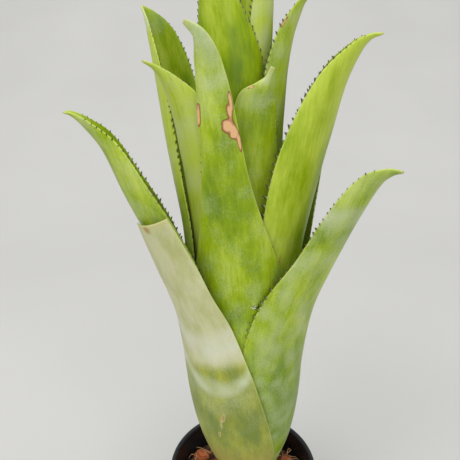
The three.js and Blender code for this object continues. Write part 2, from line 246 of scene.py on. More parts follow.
# Damp coir: near-black brown crumbs with paler fibres, and no shine at all.
coir, tree = bare_material("damp_coir_and_bark")
where = add(tree, "ShaderNodeTexCoord")
CRUMB_MM = 2.5
SHRED_MM = 1.11
crumb = add(tree, "ShaderNodeTexVoronoi", {"Scale": 1000 / CRUMB_MM}, {"Vector": where.outputs["Object"]})
fine = add(tree, "ShaderNodeTexNoise", {"Scale": 1000 / SHRED_MM, "Detail": 6.0, "Roughness": 0.7},
           {"Vector": where.outputs["Object"]})
kind = add(tree, "ShaderNodeSeparateColor", links={"Color": crumb.outputs["Color"]})
tint = add(tree, "ShaderNodeMix", {6: linear("#1f1510"), 7: linear("#5a3a24")},
           {0: kind.outputs[0]}, data_type="RGBA")
grainy = add(tree, "ShaderNodeMapRange", {"From Min": 0.5, "From Max": 0.8, "To Max": 0.6},
             {"Value": fine.outputs["Fac"]})
soil = add(tree, "ShaderNodeMix", {7: linear("#7d5534")},
           {0: grainy.outputs["Result"], 6: tint.outputs[2]}, data_type="RGBA")
rough = add(tree, "ShaderNodeBump", {"Strength": 0.7, "Distance": 0.0006}, {"Height": fine.outputs["Fac"]})
shell = add(tree, "ShaderNodeBsdfPrincipled", {"Roughness": 0.95, "IOR": 1.4},
            {"Base Color": soil.outputs[2], "Normal": rough.outputs[0]})
add(tree, "ShaderNodeOutputMaterial", links={"Surface": shell.outputs[0]})

mix_room = POT_WALL + MIX_GAP
mix_points = [(0.0, 0.0, mix_height(0, 0))]
for ring in range(1, MIX_RINGS + 1):
    for step in range(MIX_SEGMENTS):
        angle = 2 * math.pi * step / MIX_SEGMENTS
        radius = (pot_wall(MIX_TOP) - mix_room) * ring / MIX_RINGS
        x, y = radius * math.cos(angle), radius * math.sin(angle)
        mix_points.append((x, y, mix_height(x, y)))
for height in (MIX_WAIST, MIX_FOOT):
    for step in range(MIX_SEGMENTS):
        angle = 2 * math.pi * step / MIX_SEGMENTS
        radius = pot_wall(height) - mix_room
        mix_points.append((radius * math.cos(angle), radius * math.sin(angle), height))
mix_faces = [(0, 1 + k, 1 + (k + 1) % MIX_SEGMENTS) for k in range(MIX_SEGMENTS)]
mix_faces += ring_faces(MIX_RINGS + 2, MIX_SEGMENTS, 1)
mix_faces.append(tuple(reversed(range(len(mix_points) - MIX_SEGMENTS, len(mix_points)))))
mix = piece("coir_mix_top", mix_points, mix_faces, [coir])
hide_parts("potting_mix")

# ---- husk chips ------------------------------------------------------------------
# Pieces of coconut husk, torn and chopped, laid over the mix as a dressing.
# Each is a block of parallel fibres, orange-brown and matt, frayed where it broke.
CHIP_CELLS = (16, 12, 8)
CHIP_GAP = 0.4
CHIP_HEIGHT = 4.6
CHIP_HEIGHT_SPREAD = 1.4

# Each ring of chips: how many, its radius, the shift of its centre and the chips' size.
CHIP_RINGS = ((12, 35, 0, 9.5), (7, 23, 2, 6.5))


def vary(index, channel):
    """Small repeatable variation between -1 and 1, so that every chip differs."""
    wave = math.sin(index * 12.9898 + channel * 78.233) * 43758.5453
    return 2 * (wave - math.floor(wave)) - 1


def block(cells):
    """Points of a unit block's surface grid, from -1 to 1 each way, with its faces."""
    index, points, faces = {}, [], []

    def corner(spot):
        if spot not in index:
            index[spot] = len(points)
            points.append([2 * s / c - 1 for s, c in zip(spot, cells)])
        return index[spot]

    for axis in range(3):
        one, two = (axis + 1) % 3, (axis + 2) % 3
        for side in (0, cells[axis]):
            for i in range(cells[one]):
                for j in range(cells[two]):
                    quad = []
                    for di, dj in ((0, 0), (1, 0), (1, 1), (0, 1)):
                        spot = [0, 0, 0]
                        spot[axis], spot[one], spot[two] = side, i + di, j + dj
                        quad.append(corner(tuple(spot)))
                    faces.append(tuple(quad if side else quad[::-1]))
    return points, faces


# Coconut husk: parallel rust-brown fibres over a darker cork, dry at the torn ends.
husk, tree = bare_material("torn_coconut_husk")
grainwise = add(tree, "ShaderNodeAttribute", attribute_name="grain")
FIBRE_MM = 0.5
PATCHES_PER_MM = 0.22
stretched = add(tree, "ShaderNodeMapping", {"Scale": (0.08 / FIBRE_MM, 1 / FIBRE_MM, 1 / FIBRE_MM)},
                {"Vector": grainwise.outputs["Vector"]})
fibre = add(tree, "ShaderNodeTexNoise", {"Scale": 1.0, "Detail": 4.0, "Roughness": 0.65},
            {"Vector": stretched.outputs[0]})
patch = add(tree, "ShaderNodeTexNoise", {"Scale": PATCHES_PER_MM, "Detail": 3.0},
            {"Vector": grainwise.outputs["Vector"]})
husk_tint = add(tree, "ShaderNodeValToRGB", links={"Fac": fibre.outputs["Fac"]})
husk_tint.color_ramp.elements[0].position = 0.3
husk_tint.color_ramp.elements[0].color = linear("#45200f")
husk_tint.color_ramp.elements[1].position = 0.72
husk_tint.color_ramp.elements[1].color = linear("#dd9464")
middle = husk_tint.color_ramp.elements.new(0.5)
middle.color = linear("#a8572c")
shaded = add(tree, "ShaderNodeMapRange", {"From Min": 0.35, "From Max": 0.7, "To Max": 0.65},
             {"Value": patch.outputs["Fac"]})
husk_skin = add(tree, "ShaderNodeMix", {7: linear("#6a3219")},
                {0: shaded.outputs["Result"], 6: husk_tint.outputs[0]}, data_type="RGBA")
torn = add(tree, "ShaderNodeBump", {"Strength": 0.8, "Distance": 0.0006}, {"Height": fibre.outputs["Fac"]})
shell = add(tree, "ShaderNodeBsdfPrincipled", {"Roughness": 0.9, "IOR": 1.4},
            {"Base Color": husk_skin.outputs[2], "Normal": torn.outputs[0]})
add(tree, "ShaderNodeOutputMaterial", links={"Surface": shell.outputs[0]})

husk_number = 0
for count, ring_radius, ring_centre, size in CHIP_RINGS:
    for step in range(count):
        husk_number += 1
        length = size * (1 + 0.18 * vary(husk_number, 1))
        width = size * (0.72 + 0.16 * vary(husk_number, 2))
        height = CHIP_HEIGHT + CHIP_HEIGHT_SPREAD * vary(husk_number, 3)
        angle = 2 * math.pi * step / count + 0.1 * vary(husk_number, 6)
        turn = angle + 0.9 * vary(husk_number, 7)
        lean = 0.125 * vary(husk_number, 8)
        seed = Vector((husk_number * 9.1, 0, 0))
        raw, chip_faces = block(CHIP_CELLS)
        chip_points, grain_places = [], []
        for u, v, w in raw:
            spot = Vector((u * length / 2, v * width / 2, w * height / 2))
            broad = noise.noise_vector(spot / 4 + seed)
            frayed = noise.noise(Vector((spot.x / 6, spot.y * 2.2, spot.z * 2.2)) + seed)
            worn = 1 - 0.16 * ((u * v) ** 4 + (v * w) ** 4 + (u * w) ** 4)
            spot = spot * worn + broad * 0.9
            spot.x += 1.3 * frayed * abs(u) ** 3 * (1 if u > 0 else -1)
            spot.z += 0.35 * frayed
            spot.y += 0.35 * frayed
            grain_places.append((spot.x + 40 * husk_number, spot.y, spot.z))
            x = spot.x * math.cos(turn) - spot.y * math.sin(turn)
            y = spot.x * math.sin(turn) + spot.y * math.cos(turn)
            z = spot.z + lean * spot.x + height / 2
            chip_points.append((x + ring_centre + ring_radius * math.cos(angle),
                                y + ring_radius * math.sin(angle), z + MIX_TOP + CHIP_GAP))
        chip = piece(f"coconut_husk_{husk_number}", chip_points, chip_faces, [husk])
        chip.data.attributes.new("grain", "FLOAT_VECTOR", "POINT").data.foreach_set(
            "vector", [c for spot in grain_places for c in spot])
        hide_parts(f"husk_chip_{husk_number}")

# ---- loose fibres ----------------------------------------------------------------
# Single strands of coir that came away from the husk and lie across the chips.
# Each is a stiff, slightly curved hair of the same husk, dry and pale tan.
FIBRES = 130
FIBRE_SIDES = 5
FIBRE_STEPS = 12
FIBRE_SEED = 7
FIBRE_GAP = 0.6

# Dry coir strand: pale tan with darker lengths, faintly waxy.
strand, tree = bare_material("dry_coir_strand")
DARK_LENGTH_MM = 3.85
where = add(tree, "ShaderNodeTexCoord")
lengths = add(tree, "ShaderNodeTexNoise", {"Scale": 1000 / DARK_LENGTH_MM, "Detail": 3.0},
              {"Vector": where.outputs["Object"]})
strand_tint = add(tree, "ShaderNodeMix", {6: linear("#6b4425"), 7: linear("#c9a06b")},
                  {0: lengths.outputs["Fac"]}, data_type="RGBA")
shell = add(tree, "ShaderNodeBsdfPrincipled", {"Roughness": 0.65, "IOR": 1.45},
            {"Base Color": strand_tint.outputs[2]})
add(tree, "ShaderNodeOutputMaterial", links={"Surface": shell.outputs[0]})


def tube_points(path, radii, sides):
    """Rings of points round a path of Vectors, with the faces that close them."""
    points = []
    for step, centre in enumerate(path):
        along = path[min(step + 1, len(path) - 1)] - path[max(step - 1, 0)]
        one = along.cross(Vector((0.3, 0.2, 1.0))).normalized()
        two = along.cross(one).normalized()
        for side in range(sides):
            turn = 2 * math.pi * side / sides
            points.append(centre + radii[step] * (math.cos(turn) * one + math.sin(turn) * two))
    faces = ring_faces(len(path), sides)
    faces.append(tuple(range(sides)))
    faces.append(tuple(reversed(range(len(points) - sides, len(points)))))
    return points, faces


draw = random.Random(FIBRE_SEED)
fibre_points, fibre_faces = [], []
for number in range(FIBRES):
    angle = draw.uniform(0, 2 * math.pi)
    reach = draw.uniform(26, 40)
    heading = draw.uniform(0, 2 * math.pi)
    bend = draw.uniform(-0.16, 0.16)
    length = draw.uniform(7, 19)
    lift = draw.uniform(3.4, 6.6)
    arch = draw.uniform(0.3, 2.2)
    thick = draw.uniform(0.14, 0.34)
    spot = Vector((reach * math.cos(angle), reach * math.sin(angle), MIX_TOP + lift))
    path, radii = [], []
    for step in range(FIBRE_STEPS):
        share = step / (FIBRE_STEPS - 1)
        held = max(1.0, math.hypot(spot.x, spot.y) / (pot_wall(MIX_TOP) - mix_room - FIBRE_GAP))
        path.append(Vector((spot.x / held, spot.y / held, spot.z + arch * math.sin(math.pi * share))))
        radii.append(thick * (1 - 0.6 * share * share))
        spot = spot + Vector((math.cos(heading), math.sin(heading), -0.04)) * length / FIBRE_STEPS
        heading += bend
    more, quads = tube_points(path, radii, FIBRE_SIDES)
    fibre_faces += [tuple(k + len(fibre_points) for k in quad) for quad in quads]
    fibre_points += more
fibres = piece("loose_coir_fibres", fibre_points, fibre_faces, [strand])

# ---- stem ------------------------------------------------------------------------
# The short woody stem that the leaves grow from, ringed by the scars of lost leaves.
# It stands in the mix, green-brown and matt, as it grew.
STEM_RADIUS = 12
STEM_SHIFT = 4
STEM_FOOT = 52
STEM_TOP = 118
STEM_STEP = 0.75
STEM_STEPS = 82
STEM_SIDES = 72
SCAR_PITCH = 4.5


def stem_ripple(angle, radius, height):
    """How far the leaf scars and the bark's unevenness move the stem's side."""
    if radius < 2:
        return 0.0
    ring = math.sin(2 * math.pi * (height + 0.8 * math.sin(angle)) / SCAR_PITCH)
    rugged = noise.noise(Vector((math.cos(angle) * 2, math.sin(angle) * 2, height / 4)))
    return -0.5 + 0.28 * ring + 0.5 * rugged


# Young bark: green-brown, dry and matt, with pale scar lines.
bark, tree = bare_material("scarred_young_bark")
DAPPLE_MM = 2.86
where = add(tree, "ShaderNodeTexCoord")
rings = add(tree, "ShaderNodeTexWave",
            {"Scale": 1000 / SCAR_PITCH / (2 * math.pi), "Distortion": 2.0, "Detail": 3.0},
            {"Vector": where.outputs["Object"]}, bands_direction="Z")
dapple = add(tree, "ShaderNodeTexNoise", {"Scale": 1000 / DAPPLE_MM, "Detail": 5.0},
             {"Vector": where.outputs["Object"]})
bark_tint = add(tree, "ShaderNodeMix", {6: linear("#3a3318"), 7: linear("#7a7340")},
                {0: dapple.outputs["Fac"]}, data_type="RGBA")
scarred = add(tree, "ShaderNodeMapRange", {"From Min": 0.7, "From Max": 1.0, "To Max": 0.6},
              {"Value": rings.outputs["Fac"]})
bark_skin = add(tree, "ShaderNodeMix", {7: linear("#9c8c5c")},
                {0: scarred.outputs["Result"], 6: bark_tint.outputs[2]}, data_type="RGBA")
ridged = add(tree, "ShaderNodeBump", {"Strength": 0.5, "Distance": 0.0005}, {"Height": dapple.outputs["Fac"]})
shell = add(tree, "ShaderNodeBsdfPrincipled", {"Roughness": 0.8, "IOR": 1.4},
            {"Base Color": bark_skin.outputs[2], "Normal": ridged.outputs[0]})
add(tree, "ShaderNodeOutputMaterial", links={"Surface": shell.outputs[0]})

stem_side = [(STEM_RADIUS - 0.2, STEM_FOOT + 2 + STEM_STEP * step) for step in range(STEM_STEPS)]
stem_profile = [(AXIS_GAP, STEM_FOOT), (STEM_RADIUS - 2, STEM_FOOT), *stem_side,
                (STEM_RADIUS - 2.5, STEM_TOP - 1), (AXIS_GAP, STEM_TOP)]
stem_points, stem_faces = turned(stem_profile, STEM_SIDES, stem_ripple)
stem = piece("ringed_stem", [(x + STEM_SHIFT, y, z) for x, y, z in stem_points], stem_faces, [bark])
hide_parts("stem")

# ---- old leaf base ---------------------------------------------------------------
# The stub of an older leaf that was pulled away, still clasping the foot of the tube.
# Dead leaf tissue, dried brown and papery, with a ragged upper edge.
LEAF_THICK = 1.2
MARGIN_THICK = 0.7
SHEATH_PITCH = 1.8
LOWEST_LEAF = 79
LEAF_SPACING = 5
TUBE = ((74, 13), (84, 15.5), (90, 18.3), (108, 24.4), (125, 30), (142, 33), (158, 35), (181, 36.7),
        (196, 37.2), (240, 37.5))
OLD_BASE = {"azimuth": -30, "foot": 74, "top": 90, "wrap": 170, "outside": 2.2}
BASE_ROWS = 12
BASE_COLUMNS = 90


def axis_shift(height):
    """Sideways place of the rosette's axis, which leans a little as it rises."""
    return np.clip(4 - 0.042 * (height - POT_HEIGHT), -1, 4.5)


def tube_radius(height, layer):
    """Radius of the tube of leaf bases at a height, for one layer of it."""
    heights, radii = zip(*TUBE)
    return np.interp(height, heights, radii) - layer * SHEATH_PITCH


def closed_sheet(rows, columns):
    """Faces of an outer and an inner grid of points, joined round their edges."""
    grid = np.arange((rows + 1) * (columns + 1)).reshape(rows + 1, columns + 1)
    a, b, c, d = grid[:-1, :-1], grid[:-1, 1:], grid[1:, 1:], grid[1:, :-1]
    outer = np.stack([a, b, c, d], -1).reshape(-1, 4)
    half = grid.size
    faces = [outer, half + outer[:, ::-1]]
    rim = np.concatenate([grid[0, :], grid[1:, -1], grid[-1, -2::-1], grid[-2:0:-1, 0]])
    after = np.roll(rim, -1)
    faces.append(np.stack([after, rim, half + rim, half + after], -1))
    return [tuple(int(k) for k in face) for face in np.concatenate(faces)]


# Dead leaf: papery brown, matt, streaked along its fibres.
papery, tree = bare_material("dried_leaf_base")
STREAK_MM = 1.11
where = add(tree, "ShaderNodeTexCoord")
upright = add(tree, "ShaderNodeMapping", {"Scale": (1.0, 1.0, 0.12)}, {"Vector": where.outputs["Object"]})
streak = add(tree, "ShaderNodeTexNoise", {"Scale": 1000 / STREAK_MM, "Detail": 4.0},
             {"Vector": upright.outputs[0]})
paper_tint = add(tree, "ShaderNodeMix", {6: linear("#4c3a20"), 7: linear("#a58d5a")},
                 {0: streak.outputs["Fac"]}, data_type="RGBA")
crinkle = add(tree, "ShaderNodeBump", {"Strength": 0.5, "Distance": 0.0004},
              {"Height": streak.outputs["Fac"]})
shell = add(tree, "ShaderNodeBsdfPrincipled", {"Roughness": 0.75, "IOR": 1.4},
            {"Base Color": paper_tint.outputs[2], "Normal": crinkle.outputs[0]})
add(tree, "ShaderNodeOutputMaterial", links={"Surface": shell.outputs[0]})

base_outside, base_inside = [], []
for row in range(BASE_ROWS + 1):
    for column in range(BASE_COLUMNS + 1):
        across = 2 * column / BASE_COLUMNS - 1
        ragged = noise.noise(Vector((column / 2.5, 0.5, 0))) + 0.6 * noise.noise(Vector((column / 0.9, 9, 0)))
        top = OLD_BASE["top"] - 6 * across * across - 1.2 + 1.6 * ragged
        height = OLD_BASE["foot"] + row / BASE_ROWS * (top - OLD_BASE["foot"])
        angle = math.radians(OLD_BASE["azimuth"] + across * OLD_BASE["wrap"] / 2)
        crumple = 0.35 * noise.noise(Vector((column / 4, row / 3, 2.0)))
        radius = tube_radius(height, 0) + OLD_BASE["outside"] + crumple
        half = LEAF_THICK / 2 * (1 - 0.6 * (row / BASE_ROWS) ** 2)
        for side, reach in ((base_outside, radius + half), (base_inside, radius - half)):
            side.append((reach * math.cos(angle) + axis_shift(height), reach * math.sin(angle), height))
old_base = piece("dried_leaf_stub", base_outside + base_inside,
                 closed_sheet(BASE_ROWS, BASE_COLUMNS), [papery])
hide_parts("old_leaf_base")

# ---- leaves ----------------------------------------------------------------------
# Fourteen living leaves and one faded, trimmed one, rolled round each other in a tube.
# Leathery straps with a waxy skin and silvery scales, edged with dark horny teeth.
SHEATH_STATIONS = 6
THROAT_BLEND = 45
LEAF_ROWS = 150
LEAF_COLUMNS = 34
TOOTH_PITCH = 3.9
TOOTH_LENGTH = 2.6
TOOTH_RINGS = 4
TOOTH_SUNK = 0.6
TEETH_BELOW_THROAT = 22
TOOTHLESS_TIP = 7
SCALE_MM = 0.9
FADE_HEIGHTS = (188, 197)
FADE_TILT = 0.3

# Blade stations: reach from the axis, sideways shift, height, width and wrap in degrees,
# and where the blade rolls about its own length, by how many degrees.
# The two tones run from 0, yellow-green, to 1, deep green, outside and inside; the inside one
# is mostly darker, partly the inner face's own greener colour and partly painted shade in the
# channel. dust is how many silvery scales there are all over; bands are the heights, spreads
# and strengths of more of them, and the darker-green bands are given the same way, partly the
# leaf's own colour and partly painted shade where leaves overlap. Scars are patches: height,
# place across, half length and half width. teeth is the size of the teeth.
LEAVES = (
    {"name": "leaf_cut_pale", "azimuth": -125, "layer": -0.3, "foot": 102, "foot_slant": 16,
     "cut_slant": 5, "throat": 190, "wrap": (150, 80), "tone_and_shade": (0.4, 0.5), "dust": 0.08,
     "bands": ((178, 6, 1.0), (168, 9, 0.4), (203, 9, 1.1), (240, 12, 0.2), (128, 9, 0.2)),
     "deep_and_shaded": ((150, 16, 0.35),),
     "scars": ((276, -0.1, 2.0, 2.0), (163, 0.28, 2.5, 1.0), (158, 0.23, 3, 1.0),
               (153, 0.18, 3, 1.0), (148, 0.13, 3, 1.0), (142, 0.09, 3, 1.0)),
     "blade": ((38, -4, 213, 42, 66), (42, -9, 231, 36, 66), (47, -13, 248, 34, 66), (52, -16, 264, 30, 66),
               (58, -19, 281, 25, 75))},
    {"name": "leaf_front_right", "azimuth": -30, "layer": 1, "throat": 180, "wrap": (122, 138),
     "tone_and_shade": (0.45, 0.35), "dust": 0.2, "teeth": 1.0,
     "bands": ((298, 10, 0.5), (281, 8, 0.8), (257, 8, 0.6), (232, 6, 0.3), (214, 6, 0.35),
               (196, 8, 0.3), (170, 12, 0.25), (128, 12, 0.2)),
     "deep_and_shaded": ((270, 5, 0.3), (150, 36, 0.35)),
     "scars": ((202, -0.27, 2.0, 1.0),),
     "blade": ((41, 1, 220, 75, 142), (53, 3, 256, 56, 124), (64, 3, 284, 44, 110, -4),
               (71, 3, 299, 29, 94, -12), (76, 3, 304, 13, 80, -20), (81, 3, 306, 2, 70, -26))},
    {"name": "leaf_left_low", "azimuth": -163, "layer": 1, "throat": 185, "wrap": (124, 118),
     "tone_and_shade": (0.35, 0.5), "dust": 0.14, "teeth": 0.9,
     "bands": ((250, 7, 0.5), (300, 7, 0.4), (215, 8, 0.4), (325, 5, 0.5)),
     "deep_and_shaded": ((280, 12, 0.2),), "scars": (),
     "blade": ((40, 0, 225, 64, 124), (51, 0, 258, 59, 132), (64, 0, 289, 48, 128), (73, 0, 313, 34, 115),
               (81, 0, 325, 17, 105), (86, 0, 330, 7, 90), (89, 0, 331, 2, 80))},
    {"name": "leaf_back_low", "azimuth": 88, "layer": 2, "throat": 180, "wrap": (94, 94),
     "tone_and_shade": (0.4, 0.55), "dust": 0.3, "teeth": 0.85,
     "bands": ((240, 8, 0.7), (210, 10, 0.6), (265, 6, 0.5)), "deep_and_shaded": ((150, 20, 0.3),), "scars": (),
     "blade": ((41, 0, 215, 54, 100), (51, 0, 242, 50, 105), (64, 0, 268, 40, 105), (75, 0, 286, 26, 100),
               (84, 0, 294, 11, 95), (91, 0, 294, 2, 90))},
    {"name": "leaf_front", "azimuth": -97, "layer": 2, "throat": 195, "wrap": (130, 126),
     "tone_and_shade": (0.46, 0.5), "dust": 0.12, "teeth": 0.4,
     "bands": ((260, 5, 0.25), (242, 5, 0.15), (361, 11, 0.85), (346, 6, 0.65), (338, 6, 0.35)),
     "deep_and_shaded": ((292, 20, 0.3), (226, 9, 0.2)),
     "scars": ((338, 0.88, 3.5, 0.8), (333, 0.72, 3.2, 1.3), (327, 0.48, 3.2, 2.5), (324, 0.75, 3, 2.0),
               (319, 0.9, 3.5, 0.9), (331, -0.95, 5, 1.6)),
     "blade": ((33, 0, 226, 66, 114), (36, -2, 262, 42, 80), (38, -6, 300, 24, 60), (40, -10, 335, 17, 60),
               (41, -13, 355, 12, 65), (42, -16, 365, 6, 75), (42, -22, 370, 2, 80))},
    {"name": "leaf_back_left", "azimuth": 156, "layer": 3, "throat": 205, "wrap": (124, 128),
     "tone_and_shade": (-0.05, 0.45), "dust": 0.12, "teeth": 0.8,
     "bands": ((300, 9, 0.4), (260, 12, 0.4), (371, 6, 1.1)), "deep_and_shaded": ((255, 25, 0.3),), "scars": (),
     "blade": ((34, 0, 262, 62, 120), (41, 0, 295, 54, 134), (46, 0, 320, 48, 145), (50, 0, 346, 40, 140),
               (53, 0, 362, 31, 125), (55, 0, 370, 21, 115), (57, 0, 375, 10, 100), (59, 0, 378, 2, 90))},
    {"name": "leaf_back_right", "azimuth": 38, "layer": 3, "throat": 205, "wrap": (104, 104),
     "tone_and_shade": (0.45, 0.6), "dust": 0.28, "teeth": 0.85,
     "bands": ((290, 8, 0.6), (250, 10, 0.6)), "deep_and_shaded": (), "scars": (),
     "blade": ((34, 0, 228, 56, 106), (39, 0, 245, 52, 110), (47, 0, 275, 42, 110), (53, 0, 303, 30, 105),
               (60, 0, 327, 14, 100), (67, 0, 335, 2, 90))},
    {"name": "leaf_left_mid", "azimuth": -145, "layer": 4, "throat": 205, "wrap": (122, 122),
     "tone_and_shade": (-0.15, 0.5), "dust": 0.12, "teeth": 0.8,
     "bands": ((322, 10, 0.55), (296, 10, 0.5), (264, 9, 0.3)), "deep_and_shaded": ((280, 10, 0.15),), "scars": (),
     "blade": ((29, 0, 255, 56, 116), (32, 0, 290, 52, 120), (37, 0, 318, 44, 120), (42, 0, 336, 32, 112),
               (47, 0, 346, 16, 105), (51, 0, 351, 6, 95), (56, 0, 354, 2, 90))},
    {"name": "leaf_right", "azimuth": -12, "layer": 4, "throat": 205, "wrap": (122, 122),
     "tone_and_shade": (0.0, 0.3), "dust": 0.04, "teeth": 1.1,
     "bands": ((262, 6, 0.25),), "deep_and_shaded": ((305, 26, 0.3), (262, 14, 0.15)),
     "scars": ((255, -0.68, 3.5, 0.5),),
     "blade": ((31, 0, 245, 70, 140), (37, 0, 285, 76, 150), (43, 0, 315, 70, 155), (49, 0, 343, 48, 145),
               (55, 0, 358, 24, 120), (59, 0, 363, 10, 100), (64, 0, 365, 2, 90))},
    {"name": "leaf_front_right_inner", "azimuth": -80, "layer": 5, "throat": 205, "wrap": (100, 96),
     "tone_and_shade": (0.3, 0.5), "dust": 0.1, "teeth": 0.7,
     "bands": ((336, 6, 0.5), (347, 5, 0.9)), "deep_and_shaded": ((325, 10, 0.3),),
     "scars": ((342, -0.8, 0.8, 0.6),),
     "blade": ((26, 0, 252, 36, 88), (24, 0, 290, 27, 70), (24, 0, 320, 23, 60), (24, 1, 336, 20, 65),
               (25, 3, 342, 9, 70), (25, 5, 346, 3, 80), (26, 7, 351, 2, 80))},
    {"name": "leaf_right_inner", "azimuth": -8, "layer": 6, "throat": 205, "wrap": (112, 114),
     "tone_and_shade": (0.35, 0.3), "dust": 0.2, "teeth": 1.1,
     "bands": ((330, 12, 0.3), (362, 6, 0.35)), "deep_and_shaded": (), "scars": ((370, -0.95, 2.2, 0.6),),
     "blade": ((23, 0, 240, 44, 120), (21, 0, 270, 46, 140), (19, 0, 310, 44, 145), (20, 0, 345, 38, 135),
               (22, 0, 362, 30, 125), (25, 0, 373, 20, 115), (28, 0, 380, 9, 100), (34, 0, 383, 2, 90))},
    {"name": "leaf_back_inner", "azimuth": 104, "layer": 7, "throat": 235, "wrap": (92, 92),
     "tone_and_shade": (0.5, 0.6), "dust": 0.25, "teeth": 0.85,
     "bands": ((320, 10, 0.5), (280, 12, 0.4)), "deep_and_shaded": (), "scars": (),
     "blade": ((26, 0, 270, 38, 100), (33, 0, 305, 34, 100), (43, 0, 340, 28, 100), (54, 0, 362, 14, 90),
               (63, 0, 369, 2, 90))},
    {"name": "leaf_centre_front", "azimuth": -100, "layer": 7, "throat": 205, "wrap": (116, 118),
     "tone_and_shade": (0.4, 0.5), "dust": 0.03, "teeth": 1.3,
     "bands": (), "deep_and_shaded": ((352, 14, 0.35), (369, 4, 0.15)), "scars": (),
     "blade": ((21, -1, 240, 43, 122), (18, -3, 275, 41, 132), (18, -5, 325, 42, 138), (19, -7, 354, 39, 138),
               (19, -11, 376, 24, 120), (19, -15, 392, 10, 100), (19, -19, 401, 2, 90))},
    {"name": "leaf_heart_back", "azimuth": 95, "layer": 8, "throat": 205, "wrap": (116, 126),
     "tone_and_shade": (0.4, 0.3), "dust": 0.05, "teeth": 0.9, "bands": (), "deep_and_shaded": (), "scars": (),
     "blade": ((19, 0, 240, 42, 135), (16, 0, 290, 38, 150), (15, 0, 350, 34, 150), (16, 0, 385, 22, 130),
               (20, 0, 405, 9, 100), (23, 0, 412, 2, 90))},
    {"name": "leaf_heart", "azimuth": -35, "layer": 8, "throat": 200, "wrap": (100, 110),
     "tone_and_shade": (-0.3, -0.1), "dust": 0.3, "teeth": 1.2, "bands": (), "deep_and_shaded": (), "scars": (),
     "blade": ((16, 1, 238, 26, 115), (12, 2, 275, 24, 130), (11, 2, 345, 24, 130), (12, 1, 380, 18, 120),
               (13, 0, 400, 8, 105), (14, 0, 410, 2, 90))},
)


def smooth_step(value, low, high):
    """0 below low, 1 above high, and a smooth rise between them."""
    share = np.clip((value - low) / (high - low), 0, 1)
    return share * share * (3 - 2 * share)


def through(knots, values, at):
    """A smooth curve through values at knots, read at distances."""
    last = len(knots) - 1
    piece_of = np.clip(np.searchsorted(knots, at, side="right") - 1, 0, last - 1)
    before, after = np.maximum(np.arange(last + 1) - 1, 0), np.minimum(np.arange(last + 1) + 1, last)
    slope = (values[after] - values[before]) / (knots[after] - knots[before])
    span = knots[piece_of + 1] - knots[piece_of]
    u = (at - knots[piece_of]) / span
    rise = u * u * (3 - 2 * u)
    leave = u * (1 - u) ** 2 * span * slope[piece_of]
    arrive = u * u * (u - 1) * span * slope[piece_of + 1]
    return values[piece_of] + rise * (values[piece_of + 1] - values[piece_of]) + leave + arrive


def unit(vectors):
    """Vectors along the last axis, each made one long."""
    return vectors / np.linalg.norm(vectors, axis=-1, keepdims=True)


class LeafForm:
    """The smooth middle surface of one leaf, read at distances along and shares across."""

    def __init__(self, leaf):
        facing = math.radians(leaf["azimuth"])
        self.outward = np.array([math.cos(facing), math.sin(facing), 0])
        self.sideways = np.array([-math.sin(facing), math.cos(facing), 0])
        foot = leaf.get("foot", LOWEST_LEAF + LEAF_SPACING * leaf["layer"])
        rows = []
        for step in range(SHEATH_STATIONS):
            share = step / (SHEATH_STATIONS - 1)
            height = foot + share * (leaf["throat"] - foot)
            wrap = leaf["wrap"][0] + share * (leaf["wrap"][1] - leaf["wrap"][0])
            radius = tube_radius(height, leaf["layer"])
            rows.append((radius, 0, height, radius, wrap, 0))
        rows += [(reach, side, height, width / math.radians(wrap), wrap, turn[0] if turn else 0)
                 for reach, side, height, width, wrap, *turn in leaf["blade"]]
        reach, side, height, radius, wrap, turn = (np.array(column, float) for column in zip(*rows))
        spots = reach[:, None] * self.outward + side[:, None] * self.sideways
        spots[:, 2] = height
        spots[:, 0] += axis_shift(height)
        self.spots, self.radii, self.halves = spots, radius, np.radians(wrap) / 2
        self.turns = np.radians(turn)
        self.knots = np.concatenate([[0], np.cumsum(np.linalg.norm(np.diff(spots, axis=0), axis=1))])
        self.length = self.knots[-1]
        self.throat = self.knots[SHEATH_STATIONS - 1]

    def midrib(self, at):
        at = np.clip(at, 0, self.length)
        return np.stack([through(self.knots, self.spots[:, axis], at) for axis in range(3)], -1)

    def read(self, at, across):
        """Points and outward normals at distances along and shares across, -1 to 1."""
        along = unit(self.midrib(at + 0.5) - self.midrib(at - 0.5))
        level = unit(self.sideways - (along @ self.sideways)[..., None] * along)
        blend = smooth_step(at, self.throat, self.throat + THROAT_BLEND)[..., None]
        out = unit(self.outward * (1 - blend) + np.cross(level, along) * blend)
        side = self.sideways * (1 - blend) + level * blend
        side = unit(side - (side * out).sum(-1, keepdims=True) * out)
        turn = through(self.knots, self.turns, np.clip(at, 0, self.length))[..., None]
        out, side = out * np.cos(turn) + side * np.sin(turn), side * np.cos(turn) - out * np.sin(turn)
        radius = through(self.knots, self.radii, np.clip(at, 0, self.length))[..., None]
        angle = (across * through(self.knots, self.halves, np.clip(at, 0, self.length)))[..., None]
        normal = np.cos(angle) * out + np.sin(angle) * side
        return self.midrib(at) - radius * out + radius * normal, normal

    def half_width(self, at):
        at = np.clip(at, 0, self.length)
        return through(self.knots, self.radii, at) * through(self.knots, self.halves, at)


def scale_noise(spots, size, seed):
    """Smooth noise from -1 to 1 at each point, with features of a size in millimetres."""
    flat = spots.reshape(-1, 3) / size + seed
    return np.array([noise.noise(Vector(spot)) for spot in flat]).reshape(spots.shape[:-1])


